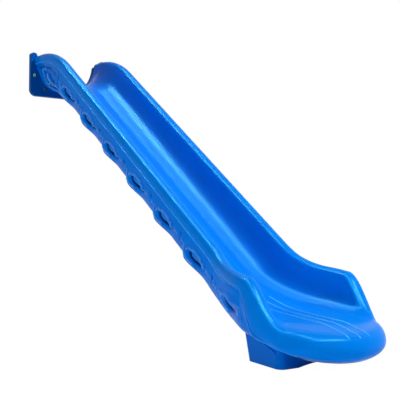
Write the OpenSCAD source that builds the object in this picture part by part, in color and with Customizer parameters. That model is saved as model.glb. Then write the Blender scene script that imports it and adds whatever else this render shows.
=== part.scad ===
// Straight playground slide, a double skinned plastic moulding hung on the edge of a deck.
// The deck is on the +Y side, the exit faces -Y, X runs across and +Z is up.
// The origin is on the flange's back face, midway between the two lower deck bolts.
// Along the slide, u is the distance from the flange's front face towards the exit.

/* [Course] */
// Distance between the centre lines of the two rails on the straight run
rail_spacing = 450; // [400:10:520]
// Radius of the rounded rail
rail_r = 33; // [28:1:38]
// Depth of the bed below the rail's centre line, square to the slope
bed_drop = 160; // [140:5:185]
// Level run at the deck before the slide bends down
top_run = 52; // [40:2:90]
// Radius of the rail's bend at the top
top_bend_r = 600; // [500:10:750]
// Slope of the straight run in degrees
slope = 35.8; // [31:0.2:40]
// Length of the straight run of the rail
slope_run = 1960; // [1500:20:2400]

/* [Exit] */
// Radius of the rail's bend at the exit
rail_bend_r = 475; // [400:5:560]
// Slope of the rail between its exit bend and its end hump, in degrees
rail_exit_slope = 9.2; // [6:0.2:12]
// Length of the rail between its exit bend and its end hump
rail_exit_run = 117; // [90:1:160]
// How far up the slope the bed starts its exit bend before the rail does
bed_bend_lead = 55; // [30:1:80]
// Radius of the bed's bend at the exit
bed_bend_r = 800; // [720:10:880]
// Slope of the bed after its exit bend, in degrees
bed_exit_slope = 4.5; // [3:0.1:6]
// Distance between the rail centre lines at the end humps
exit_spacing = 620; // [560:5:680]
// Distance over which the rails spread apart before the humps
flare_run = 375; // [300:5:450]
// Distance from the humps to the front rail line of the lip
lip_reach = 316; // [280:1:360]
// How far the front corners of the lip's rail line are drawn in from the humps
lip_tuck = 35; // [10:1:60]
// How far the rail sinks below the bed at the front
lip_sink = 8; // [0:1:20]
// Radius of the bed's roll over the front of the lip
lip_roll_r = 720; // [600:10:1200]
// How far the rounded nose stands beyond the rail line at the front
nose_reach = 73; // [65:1:90]
// Height of the rounded nose at the front, from the bed to the seam
nose_drop = 133; // [125:1:140]
// Radius of the rail where it rounds the lip
lip_r = 38; // [34:1:42]

/* [Skins] */
// Wall thickness of the two skins
skin = 6; // [5:0.5:8]
// Distance from the bed down to the underside on the straight run
hollow_depth = 44; // [38:1:52]
// Distance from the bed down to the underside at the lip
lip_depth = 145; // [130:1:155]
// Extra depth of the hollow just behind the rounded nose
nose_keel = 24; // [18:1:30]
// Gap left between pieces that are welded or bolted face to face
fit_gap = 0.3; // [0.2:0.05:0.4]
// Thickness of the wall that closes the hollow at the deck end
end_wall_t = 8; // [6:0.5:12]

/* [Scroll relief] */
// Distance between two waves of the scroll, along the slope
wave_pitch = 338; // [300:2:380]
// Depth of the hollows of the scroll
wave_depth = 26; // [16:1:30]
// Distance along the rail to the first wave's crest
wave_start = 475; // [440:5:500]
// Depth of the smooth band under the rail
band_depth = 62; // [50:1:70]
// How far the band stands out from the scroll panel
band_proud = 8; // [4:0.5:10]

/* [Deck flange] */
// Width of the flange
flange_w = 574; // [550:2:640]
// Height of the flange's top edge above the rail's centre line
flange_rise = 52; // [40:1:60]
// Depth of the flange's bottom edge below the rail's centre line
flange_foot = 242; // [232:1:260]
// Thickness of the flange
flange_t = 28; // [24:1:34]
// Wall thickness of the hollow flange
flange_wall = 5; // [4:0.5:7]
// Radius of the flange's lower corners
flange_r = 46; // [30:1:60]
// Distance between the two upper deck bolts
upper_bolt_w = 520; // [510:2:530]
// Depth of the upper deck bolts below the rail's centre line
upper_bolt_z = 101; // [80:1:120]
// Distance between the two lower deck bolts
lower_bolt_w = 362; // [350:2:380]
// Depth of the lower deck bolts below the rail's centre line
lower_bolt_z = 188; // [180:1:206]
// Bore of the metal sleeves, for an M10 deck bolt
sleeve_bore = 11; // [9:0.5:12]
// Outer diameter of the metal sleeves
sleeve_od = 15; // [14:0.5:18]
// Diameter of the sleeves' heads
sleeve_head = 20; // [18:0.5:24]
// Thickness of the sleeves' heads
sleeve_head_t = 2; // [1:0.5:3]

/* [Foot] */
// Height of the foot's front edge from the ground to the lip's underside
foot_h = 41.8; // [36:0.1:90]
// Width of the foot across its rear corners
foot_rear_w = 454; // [400:2:480]
// Width of the foot across its front corners
foot_front_w = 536; // [500:2:560]
// Distance from the lip's front rail line back to the foot's front
foot_back = 150.6; // [120:0.1:180]
// Length of the foot on the ground
foot_len = 243; // [220:1:260]
// How far the rear of the foot leans back at the top
foot_lean = 46; // [20:1:60]
// Radius of the foot's front corners
foot_r = 30; // [20:1:40]
// Wall thickness of the foot
foot_wall = 6; // [5:0.5:8]
// Thickness of the foot's top web
foot_web = 10; // [8:1:14]
// Width of the shallow arch in the foot's front edge
arch_w = 330; // [200:10:400]
// Rise of the arch in the foot's front edge
arch_h = 16; // [8:1:24]

/* [Fasteners] */
// Thread diameter of the screws that hold the flange and the foot
screw_d = 8; // [6:1:8]
// Outer diameter of the moulded in threaded inserts
insert_d = 14; // [12:0.5:16]
// Length of the threaded inserts
insert_len = 22; // [18:1:26]
// Outer diameter of the washers
washer_d = 24; // [20:1:26]
// Thickness of the washers
washer_t = 2; // [1.5:0.5:3]
// Width across the flats of the screw heads
head_af = 13; // [12:1:14]
// Height of the screw heads
head_h = 5.5; // [4:0.5:7]
// Diameter of the vent plug's cap
plug_d = 34; // [28:1:40]
// Height of the three ribs on the exit floor
rib_h = 2; // [1.5:0.5:3]
// Width of the three ribs on the exit floor
rib_w = 5; // [4:0.5:7]
// Distance between the ribs
rib_pitch = 62; // [50:1:70]

/* [Hidden] */
$fn = 32;

blue = [0.0, 0.42, 0.93];
deep_blue = [0.0, 0.34, 0.78];
steel = [0.62, 0.6, 0.52];
brass = [0.78, 0.62, 0.3];
grey = [0.25, 0.26, 0.28];

// Small sums used along the whole course
function mix(a, b, t) = a + (b - a) * t;
function ease(t) = let (c = min(1, max(0, t))) c * c * (3 - 2 * c);

// Corners of the rail's side line: where each stretch ends, as [u, z]
rail_p1 = [top_run, 0];
rail_p2 = rail_p1 + top_bend_r * [sin(slope), cos(slope) - 1];
rail_p3 = rail_p2 + slope_run * [cos(slope), -sin(slope)];
rail_p4 = rail_p3 + rail_bend_r * [sin(slope) - sin(rail_exit_slope),
                                   cos(slope) - cos(rail_exit_slope)];
rail_p5 = rail_p4 + rail_exit_run * [cos(rail_exit_slope), -sin(rail_exit_slope)];
hump_u = rail_p5[0];
hump_z = rail_p5[1];
rail_front_u = hump_u + lip_reach;

// Corners of the bed's side line
bed_top_r = top_bend_r - bed_drop;
bed_p1 = [top_run, -bed_drop];
bed_p2 = bed_p1 + bed_top_r * [sin(slope), cos(slope) - 1];
bed_p3 = bed_p2 + (slope_run - bed_bend_lead) * [cos(slope), -sin(slope)];
bed_p4 = bed_p3 + bed_bend_r * [sin(slope) - sin(bed_exit_slope),
                                cos(slope) - cos(bed_exit_slope)];

// Drop of the bed where it rolls over the front of the lip
roll_u = rail_front_u - 0.4 * lip_reach;
function roll(d) = lip_roll_r - sqrt(lip_roll_r * lip_roll_r - d * d);

// Height of the bed at the distance u from the flange
function bed_z(u) =
    u < bed_p1[0] ? -bed_drop :
    u < bed_p2[0] ? let (d = u - bed_p1[0])
        bed_p1[1] - bed_top_r + sqrt(bed_top_r * bed_top_r - d * d) :
    u < bed_p3[0] ? bed_p2[1] - (u - bed_p2[0]) * tan(slope) :
    u < bed_p4[0] ? let (d = bed_bend_r * sin(slope) - (u - bed_p3[0]))
        bed_p3[1] + bed_bend_r * cos(slope) - sqrt(bed_bend_r * bed_bend_r - d * d) :
    bed_p4[1] - (u - bed_p4[0]) * tan(bed_exit_slope) - roll(max(0, u - roll_u));

// The hollow between the skins deepens from the slope to the lip
deepen_u1 = rail_p3[0] - 40;
deepen_u2 = rail_front_u + 0.19 * lip_reach;
keel_u = rail_front_u - 0.715 * lip_reach;
function hollow(u) =
    u < bed_p2[0] ? mix(hollow_depth, hollow_depth / cos(slope), ease(u / bed_p2[0])) :
    mix(hollow_depth / cos(slope), lip_depth, ease((u - deepen_u1) / (deepen_u2 - deepen_u1)))
        + nose_keel * ease((u - keel_u) / (0.35 * lip_reach));
function under_z(u) = bed_z(u) - hollow(u);
function under_lean(u) = atan((under_z(u - 5) - under_z(u + 5)) / 10);

// Half the distance between the rails
function rail_x(u) = mix(rail_spacing, exit_spacing, ease((u - hump_u + flare_run) / flare_run)) / 2;

// Side stations: [x, u, z, pitch, run along the rail, share of the lip]
bend_steps = 8;
top_len = top_bend_r * slope * PI / 180;
bend_len = rail_bend_r * (slope - rail_exit_slope) * PI / 180;
function side_stations(slope_steps) = concat(
    [[0, 0, 0, 0], [rail_p1[0], 0, 0, top_run]],
    [for (i = [1:bend_steps]) let (a = slope * i / bend_steps)
        [rail_p1[0] + top_bend_r * sin(a), top_bend_r * (cos(a) - 1), a,
         top_run + top_len * i / bend_steps]],
    [for (i = [1:slope_steps]) let (d = slope_run * i / slope_steps)
        [rail_p2[0] + d * cos(slope), rail_p2[1] - d * sin(slope), slope, top_run + top_len + d]],
    [for (i = [1:bend_steps]) let (a = mix(slope, rail_exit_slope, i / bend_steps))
        [rail_p3[0] + rail_bend_r * (sin(slope) - sin(a)),
         rail_p3[1] + rail_bend_r * (cos(slope) - cos(a)), a,
         top_run + top_len + slope_run + bend_len * i / bend_steps]],
    [for (i = [1:3]) let (d = rail_exit_run * i / 3)
        [rail_p4[0] + d * cos(rail_exit_slope), rail_p4[1] - d * sin(rail_exit_slope),
         rail_exit_slope * (1 - i / 3), top_run + top_len + slope_run + bend_len + d]]);
rail_len = top_run + top_len + slope_run + bend_len + rail_exit_run;

// The lip's rail line in plan is one cubic curve from the hump to the middle of the front
lip_steps = 15;
lip_corner = [exit_spacing / 2 - lip_tuck, rail_front_u];
function curve(p, t) = pow(1 - t, 3) * p[0] + 3 * pow(1 - t, 2) * t * p[1]
    + 3 * (1 - t) * t * t * p[2] + pow(t, 3) * p[3];
function curve_dir(p, t) = 3 * pow(1 - t, 2) * (p[1] - p[0]) + 6 * (1 - t) * t * (p[2] - p[1])
    + 3 * t * t * (p[3] - p[2]);
lip_line = [[exit_spacing / 2, hump_u], [exit_spacing / 2, hump_u + 0.33 * lip_reach],
            lip_corner, [0, rail_front_u]];
lip_end = 0.975;

// Every station as [x, u, z, pitch, run, lip share, inward x, inward u]
function stations(slope_steps) = concat(
    [for (s = side_stations(slope_steps)) [rail_x(s[0]), s[0], s[1], s[2], s[3], 0, -1, 0]],
    [for (i = [1:lip_steps])
        let (t = lip_end * i / lip_steps, p = curve(lip_line, t), d = curve_dir(lip_line, t),
             z = mix(hump_z, bed_z(p[1]) - lip_r - lip_sink, ease(t / 0.5)))
        [p[0], p[1], z, 0, rail_len + t * lip_reach, t, -d[1] / norm(d), d[0] / norm(d)]]);

// A point of a section: a inwards and b upwards from the rail's centre, side +1 or -1
function place(s, a, b, side) =
    [side * (s[0] + a * s[6]), -flange_t - (s[1] + a * s[7] + b * sin(s[3])),
     s[2] + b * cos(s[3]) + lower_bolt_z];

// Where the bed's flat part starts, inwards from the rail's centre
function bed_a(s) = mix(171, 125, ease(s[5] * 2));
// Height of a level surface under a point of the section, as b
function bed_b(s) = let (ua = s[1] + bed_a(s) * s[7],
                         b1 = -bed_drop,
                         b2 = (bed_z(ua + b1 * sin(s[3])) - s[2]) / cos(s[3]),
                         b3 = (bed_z(ua + b2 * sin(s[3])) - s[2]) / cos(s[3]))
    (bed_z(ua + b3 * sin(s[3])) - s[2]) / cos(s[3]);
function under_b(s, a) = let (ua = s[1] + a * s[7],
                              b1 = -bed_drop - hollow_depth,
                              b2 = (under_z(ua + b1 * sin(s[3])) - s[2]) / cos(s[3]),
                              b3 = (under_z(ua + b2 * sin(s[3])) - s[2]) / cos(s[3]))
    (under_z(ua + b3 * sin(s[3])) - s[2]) / cos(s[3]);

// The rail's outer side swells into the lip's nose
function bead_r(s) = mix(rail_r, lip_r, ease((s[1] - hump_u + flare_run) / flare_run));
seam_start = rail_len - 42;
seam_end = rail_len + 56;
function seam_z(s) = mix(under_z(hump_u) + 0.36 * lip_depth, bed_z(rail_front_u) - nose_drop,
                         (s[1] - hump_u) / lip_reach);
function seam_drop(s) = mix(0.82 * bead_r(s), s[2] - seam_z(s),
                            ease((s[4] - seam_start) / (seam_end - seam_start)));
function nose_out(s) = mix(bead_r(s), nose_reach, pow(s[5], 1.6));
function seam_turn(s) = mix(55, 75, ease(s[5] / 0.4));
function nose_half(s) = seam_drop(s) / sin(seam_turn(s));
function seam_at(s) = [-nose_out(s) * cos(seam_turn(s)), -seam_drop(s)];

// Chute skin section from the bed's edge, up the wall, over the rail and down to the seam
wall_steps = 7;
crown_steps = 6;
side_steps = 5;
function wall_share(s) = ease((bead_r(s) - bed_b(s)) / 110);
function chute_line(s) = let (
    r = bead_r(s), lean = mix(98, 172, wall_share(s)) - 20 * ease((bed_b(s) - r) / 40),
    p0 = [-r * cos(lean), r * sin(lean)], p3 = [bed_a(s), bed_b(s)],
    along = [sin(lean), cos(lean)], side = p3[0] - p0[0],
    p1 = p0 + along * (0.53 * (p0[1] - p3[1]) + 0.35 * side * (1 - wall_share(s))),
    p2 = p3 - [mix(0.35, 0.65, wall_share(s)) * side, 0])
    concat(
        [for (i = [0:wall_steps]) curve([p3, p2, p1, p0], i / wall_steps)],
        [for (i = [1:crown_steps]) let (a = mix(lean, 90, i / crown_steps)) [-r * cos(a), r * sin(a)]],
        [for (i = [1:side_steps]) let (a = 90 - 90 * i / side_steps)
            [-nose_out(s) * cos(a), r * sin(a)]],
        [for (i = [1:side_steps]) let (a = seam_turn(s) * i / side_steps)
            [-nose_out(s) * cos(a), -nose_half(s) * sin(a)]]);

// The same line moved towards its right hand side by the distance d
function side_of(p, i) = let (q = p[min(len(p) - 1, i + 1)] - p[max(0, i - 1)]) [q[1], -q[0]] / norm(q);
function moved(p, d) = [for (i = [0:len(p) - 1]) p[i] + d * side_of(p, i)];
function turned(p) = [for (i = [len(p) - 1:-1:0]) p[i]];

// Under skin section: shares of the drop from the seam to the underside, and places inwards
band_share = band_depth / (bed_drop + hollow_depth - 0.82 * rail_r);
function panel_share(t) = mix(band_share + 0.03, 1, t);
function wave(s) = let (w = (s[4] - wave_start) / wave_pitch, ph = w - floor(w))
    w < 0 ? 0 :
    (ph < 0.8 || w > 5.8 ? ease(min(ph + (w > 6 ? 1 : 0), 0.42) / 0.42) : 1 - ease((ph - 0.8) / 0.2))
        * ease((rail_len - 20 - s[4]) / 120);
function curl(s) = ease(1 - s[4] / 190);
slope_form = [[0, 2], [0.05, -6], [band_share * 0.55, -7], [band_share - 0.005, -6],
              [panel_share(0), band_proud - 6], [panel_share(0.09), band_proud - 5],
              [panel_share(0.32), band_proud - 3], [panel_share(0.55), band_proud + 3],
              [panel_share(0.78), 23], [panel_share(0.935), 46], [panel_share(0.992), 76], [1, 110]];
curl_form = [[0, 2], [0.05, -4], [0.12, 1], [0.24, 11], [0.36, 21], [0.48, 33], [0.6, 43],
             [0.7, 54], [0.78, 65], [0.88, 91], [0.96, 124], [1, 150]];
lip_form = [[0, 3], [0.05, 4], [0.19, 8], [0.345, 14], [0.38, 18], [0.435, 22], [0.58, 34],
            [0.72, 48], [0.865, 66], [0.96, 84], [0.995, 98], [1, 110]];
hollow_share = [0, 0, 0, 0, 0.25, 0.6, 0.9, 1, 1, 0.8, 0.4, 0];
function under_line(s) = let (
    seam = seam_at(s), w = ease((s[4] - rail_len + 130) / 190), c = curl(s), d = wave(s) * wave_depth)
    [for (i = [0:len(slope_form) - 1]) let (
        f = mix(mix(slope_form[i], curl_form[i], c), lip_form[i], w),
        inner = f[1] + hollow_share[i] * d,
        low = under_b(s, 110))
        [seam[0] + inner,
         mix(seam[1] - fit_gap, low, f[0]) + hollow_share[i] * d * 0.45 * (1 - f[0])]];

// A skin lofted through all stations from one half section, doubled over the middle
function half_ring(s, line, d, side) = concat(
    [for (p = line) place(s, p[0], p[1], side)],
    [for (i = [len(line) - 1:-1:0]) let (q = moved(line, d)[i]) place(s, q[0], q[1], side)]);
function full_ring(s, line, d) = let (n = half_ring(s, line, d, -1), f = half_ring(s, line, d, 1))
    concat(n, [for (i = [len(f) - 1:-1:0]) f[i]]);
module loft(rings, inside_out = false) {
    m = len(rings[0]);
    k = len(rings);
    h = m / 2;
    q = h / 2;
    points = [for (r = rings) for (p = r) p];
    walls = [for (j = [0:k - 2]) for (i = [0:m - 1]) let (
        a = j * m + i, b = j * m + (i + 1) % m, c = a + m, d = b + m) each [[a, d, b], [a, c, d]]];
    ends = [for (i = [0:q - 2]) let (a = i, b = i + 1, c = h - 1 - i, d = h - 2 - i)
        each [[a, d, c], [a, b, d]]];
    far_ends = [for (i = [0:q - 2]) let (a = m - 1 - i, b = m - 2 - i, c = h + i, d = h + i + 1)
        each [[a, c, d], [a, d, b]]];
    mid_end = [[0, h, m - 1], [0, h - 1, h]];
    last = (k - 1) * m;
    front = [for (i = [0:h - 2]) let (a = last + i, b = last + i + 1, c = last + m - 1 - i,
        d = last + m - 2 - i) each [[a, d, b], [a, c, d]]];
    faces = concat(walls, ends, far_ends, mid_end, front);
    polyhedron(points, inside_out ? [for (f = faces) turned(f)] : faces, convexity = 8);
}

slope_steps_smooth = 6;
slope_steps_waves = 66;

// Upper skin: the bed, the two side walls, the rails and the rounded lip, one moulded sheet
module chute_skin() {
    color(blue) loft([for (s = stations(slope_steps_smooth)) full_ring(s, chute_line(s), -skin)]);
}

// Lower skin: the outer sides with the band and the scroll waves, and the underside
module under_skin() {
    color(deep_blue) difference() {
        loft([for (s = stations(slope_steps_waves)) full_ring(s, turned(under_line(s)), skin)],
             inside_out = true);
        each_foot_screw(20) cylinder(d = insert_d + 0.6, h = 60);
        plug_place() translate([0, 0, -20]) cylinder(d = plug_neck + 0.6, h = 60);
    }
}

// Moves children to the distance u and the height z on the slide's middle line
module on_slide(u, z) {
    translate([0, -flange_t - u, z + lower_bolt_z]) children();
}

// Wall that closes the hollow at the deck end and carries the flange's inserts
end_station = stations(1)[0];
function end_outline() = let (
    upper = moved(chute_line(end_station), -skin - fit_gap),
    lower = moved(under_line(end_station), -skin - fit_gap),
    half = concat([for (p = upper) [end_station[0] - p[0], p[1]]],
                  [for (p = lower) [end_station[0] - p[0], p[1]]]))
    concat(half, [for (i = [len(half) - 1:-1:0]) [-half[i][0], half[i][1]]]);
module across(u, t) {
    on_slide(u + t, 0) rotate([90, 0, 0]) mirror([0, 0, 1]) linear_extrude(t) children();
}
low_screw_z = -bed_drop - hollow_depth / 2 + 3;
wall_screw_spots = [[rail_spacing / 2 - 20, -92], [100, low_screw_z], [34, low_screw_z]];
module end_wall() {
    color(deep_blue) difference() {
        across(fit_gap, end_wall_t) polygon(end_outline());
        for (side = [-1, 1], p = wall_screw_spots)
            translate([side * p[0], 0, 0]) on_slide(-1, p[1]) rotate([90, 0, 0])
                cylinder(d = insert_d + 0.6, h = end_wall_t + 4);
    }
}

// Posts between the skins, which keep the bed from sagging
post_count = 7;
module spacer_posts() {
    top = [rail_p2[0], rail_p2[1]];
    lower_b = -bed_drop - hollow_depth + skin + fit_gap;
    post_h = hollow_depth - 2 * skin - 2 * fit_gap;
    color(deep_blue)
        for (i = [0:post_count - 1], side = [-1, 1]) {
            d = slope_run * (i + 0.5) / post_count;
            translate([side * rail_spacing / 9, 0, 0])
                on_slide(top[0] + d * cos(slope), top[1] - d * sin(slope))
                    rotate([slope, 0, 0]) translate([0, 0, lower_b])
                        cylinder(r1 = 22, r2 = 13, h = post_h);
        }
}

// Three thin ribs on the exit floor
rib_u1 = bed_p3[0] + 170;
rib_u2 = rail_front_u - 8;
rib_steps = 24;
lip_top = let (s = stations(1)[len(stations(1)) - 1], line = chute_line(s))
    [for (i = [0:wall_steps + crown_steps]) [s[1] - line[i][0], s[2] + line[i][1]]];
function floor_z(u) = u < lip_top[0][0] ? bed_z(u) + fit_gap : lookup(u, lip_top) + 2 * fit_gap;
module exit_ribs() {
    top = [for (i = [0:rib_steps]) let (u = mix(rib_u1, rib_u2, i / rib_steps), e = i / rib_steps)
        [u, floor_z(u) + fit_gap + 0.1 + rib_h * min(1, 8 * e, 8 * (1 - e))]];
    low = [for (i = [rib_steps:-1:0]) let (u = mix(rib_u1, rib_u2, i / rib_steps))
        [u, floor_z(u) + fit_gap]];
    color(blue)
        for (i = [-1:1])
            translate([i * rib_pitch - rib_w / 2, 0, 0]) on_slide(0, 0)
                rotate([90, 0, -90]) mirror([0, 0, 1]) linear_extrude(rib_w) polygon(concat(top, low));
}

// Outline of the flange, drawn in by the distance e
function mouth(e) = let (
    line = moved(chute_line(end_station), e),
    half = [for (i = [0:wall_steps]) [end_station[0] - line[i][0], line[i][1]]],
    ear = concat([[ear_x - e, rail_r * 0.5]],
        [for (i = [0:6]) [ear_x - e + ear_r * (1 - cos(15 * i)), flange_rise - ear_r * (1 - sin(15 * i))]],
        [[ear_x - e + ear_r, 400]]))
    concat(half, ear, [for (p = turned(concat(half, ear))) [-p[0], p[1]]]);
ear_x = rail_spacing / 2 + 14;
ear_r = 20;
module flange_outline(e) {
    w = flange_w / 2 - e;
    top_r = 20 - e / 2;
    low_r = flange_r - e;
    difference() {
        union() {
            for (side = [-1, 1]) {
                translate([side * (w - low_r), -flange_foot + e + low_r]) circle(r = low_r, $fn = 64);
                translate([side * (w - top_r), flange_rise - e - top_r]) circle(r = top_r, $fn = 48);
            }
            translate([-w, -flange_foot + e + low_r])
                square([2 * w, flange_foot + flange_rise - 2 * e - low_r - top_r]);
            translate([-w + low_r, -flange_foot + e]) square([2 * (w - low_r), low_r + 1]);
            translate([-w + top_r, flange_rise - e - top_r - 1]) square([2 * (w - top_r), top_r + 1]);
        }
        polygon(mouth(-e));
    }
}

// Hollow plate that hangs on the deck's edge, open where the chute passes
bolt_spots = [[-upper_bolt_w / 2, -upper_bolt_z], [upper_bolt_w / 2, -upper_bolt_z],
              [-lower_bolt_w / 2, -lower_bolt_z], [lower_bolt_w / 2, -lower_bolt_z]];
module through_flange(p, d, u1, u2) {
    translate([p[0], 0, 0]) on_slide(u1, p[1]) rotate([90, 0, 0]) cylinder(d = d, h = u2 - u1, $fn = 48);
}
module deck_flange() {
    color(blue) difference() {
        across(-flange_t, flange_t) flange_outline(0);
        difference() {
            across(-flange_t + flange_wall, flange_t - 2 * flange_wall) flange_outline(flange_wall);
            for (p = bolt_spots) through_flange(p, sleeve_od + 2 * flange_wall, -flange_t, 0);
            for (side = [-1, 1], p = wall_screw_spots)
                through_flange([side * p[0], p[1]], washer_d + 2 * flange_wall, -flange_t, 0);
        }
        for (p = bolt_spots) {
            through_flange(p, sleeve_od + 0.2, -flange_t - 1, 1);
            through_flange(p, sleeve_head + 0.6, -sleeve_head_t, 1);
        }
        for (side = [-1, 1], p = wall_screw_spots) {
            through_flange([side * p[0], p[1]], screw_d + 1, -flange_t - 1, 1);
            through_flange([side * p[0], p[1]], washer_d + 1, -flange_t - 1, -flange_wall - 3);
        }
    }
}

// Metal sleeves that take the clamp load of the deck bolts through the hollow flange
module flange_sleeves() {
    color(brass) for (p = bolt_spots) difference() {
        union() {
            through_flange(p, sleeve_od, -flange_t, 0);
            through_flange(p, sleeve_head, -sleeve_head_t + fit_gap, 0.5);
        }
        through_flange(p, sleeve_bore, -flange_t - 1, 2);
    }
}

// A threaded insert along +Z from its mouth at the origin, its flange behind a wall of thickness t
module insert(t) {
    difference() {
        union() {
            cylinder(d = insert_d, h = insert_len);
            translate([0, 0, t + 0.8]) cylinder(d = insert_d + 4, h = 3);
        }
        translate([0, 0, -1]) cylinder(d = screw_d + 0.4, h = insert_len + 2);
    }
}
// A hexagon screw along +Z with its head's underside at the origin
module screw(length) {
    translate([0, 0, -head_h]) cylinder(d = head_af / cos(30), h = head_h, $fn = 6);
    cylinder(d = screw_d, h = length);
}
module washer() {
    difference() {
        cylinder(d = washer_d, h = washer_t);
        translate([0, 0, -1]) cylinder(d = screw_d + 0.8, h = washer_t + 2);
    }
}

// Screws go in from the deck side, through the flange and into the inserts of the end wall
module each_wall_screw(u) {
    for (side = [-1, 1], p = wall_screw_spots)
        translate([side * p[0], 0, 0]) on_slide(u, p[1]) rotate([90, 0, 0]) children();
}
counterbore = -flange_wall - 3;
module flange_inserts() {
    color(brass) each_wall_screw(fit_gap) insert(end_wall_t);
}
module flange_washers() {
    color(steel) each_wall_screw(counterbore - washer_t - 0.1) washer();
}
module flange_screws() {
    color(steel) each_wall_screw(counterbore - washer_t - 0.2) screw(insert_len + 10);
}

// Hollow pedestal under the exit, open at the bottom and bolted up into the under skin
foot_front_u = rail_front_u - foot_back;
foot_rear_u = foot_front_u - foot_len;
ground_z = under_z(foot_front_u) - foot_h;
foot_taper = atan((foot_front_w - foot_rear_w) / 2 / foot_len);
arch_r = (arch_w * arch_w / 4 + arch_h * arch_h) / 2 / arch_h;
function foot_half(e) = let (
    u1 = foot_rear_u - foot_lean + e, r = foot_r - e,
    cx = foot_front_w / 2 - foot_r, cu = foot_front_u - foot_r)
    concat([[cx + r / cos(foot_taper) - (cu - u1) * tan(foot_taper), u1]],
           [for (i = [0:8]) let (a = mix(-foot_taper, 90, i / 8)) [cx + r * cos(a), cu + r * sin(a)]]);
module foot_block(e, low, gap) {
    half = foot_half(e);
    plan = concat(half, [for (p = turned(half)) [-p[0], p[1]]]);
    u1 = foot_rear_u - foot_lean + e;
    u2 = foot_front_u + 5;
    top = [for (i = [0:12]) let (u = mix(u1, u2, i / 12)) [u, under_z(u) - gap]];
    intersection() {
        translate([0, 0, ground_z + lower_bolt_z + low]) linear_extrude(300)
            polygon([for (p = plan) [p[0], -flange_t - p[1]]]);
        translate([-400, 0, 0]) on_slide(0, 0) rotate([90, 0, -90]) mirror([0, 0, 1]) linear_extrude(800)
            polygon(concat([[foot_rear_u + e, ground_z - 5]], top, [[u2, ground_z - 5]]));
    }
}
foot_screw_spots = [for (side = [-1, 1], u = [foot_rear_u + 40, foot_front_u - 70])
    [side * (foot_rear_w / 2 - 77), u]];
module each_foot_screw(drop) {
    for (p = foot_screw_spots) translate([p[0], 0, 0]) on_slide(p[1], under_z(p[1]))
        rotate([under_lean(p[1]), 0, 0]) translate([0, 0, -drop]) children();
}
module exit_foot() {
    color(deep_blue) difference() {
        foot_block(0, 0, fit_gap);
        foot_block(foot_wall, -1, fit_gap + foot_web);
        on_slide(foot_front_u - foot_wall - 2, ground_z + arch_h - arch_r) rotate([90, 0, 0])
            cylinder(r = arch_r, h = foot_wall + 10, $fn = 360);
        each_foot_screw(60) cylinder(d = screw_d + 1, h = 100);
    }
}
web_under = fit_gap + foot_web;
module foot_inserts() {
    color(brass) each_foot_screw(-fit_gap) insert(skin);
}
module foot_washers() {
    color(steel) each_foot_screw(web_under + 0.2 + washer_t) washer();
}
module foot_screws() {
    color(steel) each_foot_screw(web_under + 0.3 + washer_t) screw(insert_len + web_under);
}

// Plug in the moulding's vent hole, on the underside of the slope
plug_neck = 22;
module plug_place() {
    d = slope_run * 0.5;
    on_slide(rail_p2[0] + d * cos(slope), rail_p2[1] - d * sin(slope))
        rotate([slope, 0, 0]) translate([0, 0, -bed_drop - hollow_depth]) children();
}
module vent_plug() {
    color(grey) plug_place() {
        translate([0, 0, -4 - fit_gap]) cylinder(d = plug_d, h = 4);
        translate([0, 0, -4]) cylinder(d = plug_neck, h = 4 + skin + 6);
    }
}

chute_skin();
under_skin();
end_wall();
spacer_posts();
exit_ribs();
deck_flange();
flange_sleeves();
flange_inserts();
flange_screws();
flange_washers();
exit_foot();
foot_inserts();
foot_screws();
foot_washers();
vent_plug();
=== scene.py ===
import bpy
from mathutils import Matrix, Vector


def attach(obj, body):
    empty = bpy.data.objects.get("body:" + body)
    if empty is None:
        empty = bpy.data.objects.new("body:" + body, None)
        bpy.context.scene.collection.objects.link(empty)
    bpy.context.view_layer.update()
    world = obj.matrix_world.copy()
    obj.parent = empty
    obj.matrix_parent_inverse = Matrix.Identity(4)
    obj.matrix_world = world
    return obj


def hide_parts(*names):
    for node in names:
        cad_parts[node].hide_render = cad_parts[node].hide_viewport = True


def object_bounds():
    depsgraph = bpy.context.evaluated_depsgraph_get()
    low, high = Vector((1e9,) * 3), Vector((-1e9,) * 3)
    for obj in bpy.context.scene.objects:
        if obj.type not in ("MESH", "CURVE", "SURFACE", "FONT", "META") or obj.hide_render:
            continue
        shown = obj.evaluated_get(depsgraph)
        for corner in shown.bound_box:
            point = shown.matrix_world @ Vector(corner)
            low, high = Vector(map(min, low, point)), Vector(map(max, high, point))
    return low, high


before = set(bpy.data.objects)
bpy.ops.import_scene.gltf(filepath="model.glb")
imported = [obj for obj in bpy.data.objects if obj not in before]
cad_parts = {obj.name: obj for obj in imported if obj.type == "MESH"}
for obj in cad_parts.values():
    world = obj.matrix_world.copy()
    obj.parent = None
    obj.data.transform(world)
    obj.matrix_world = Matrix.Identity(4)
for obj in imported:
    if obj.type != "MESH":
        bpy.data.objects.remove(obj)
cad_box = [list(corner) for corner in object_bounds()]

import bpy
import bmesh
import numpy as np
from math import sin, cos, tan, radians, sqrt, hypot, pi
from mathutils import Vector
from mathutils.bvhtree import BVHTree

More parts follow.
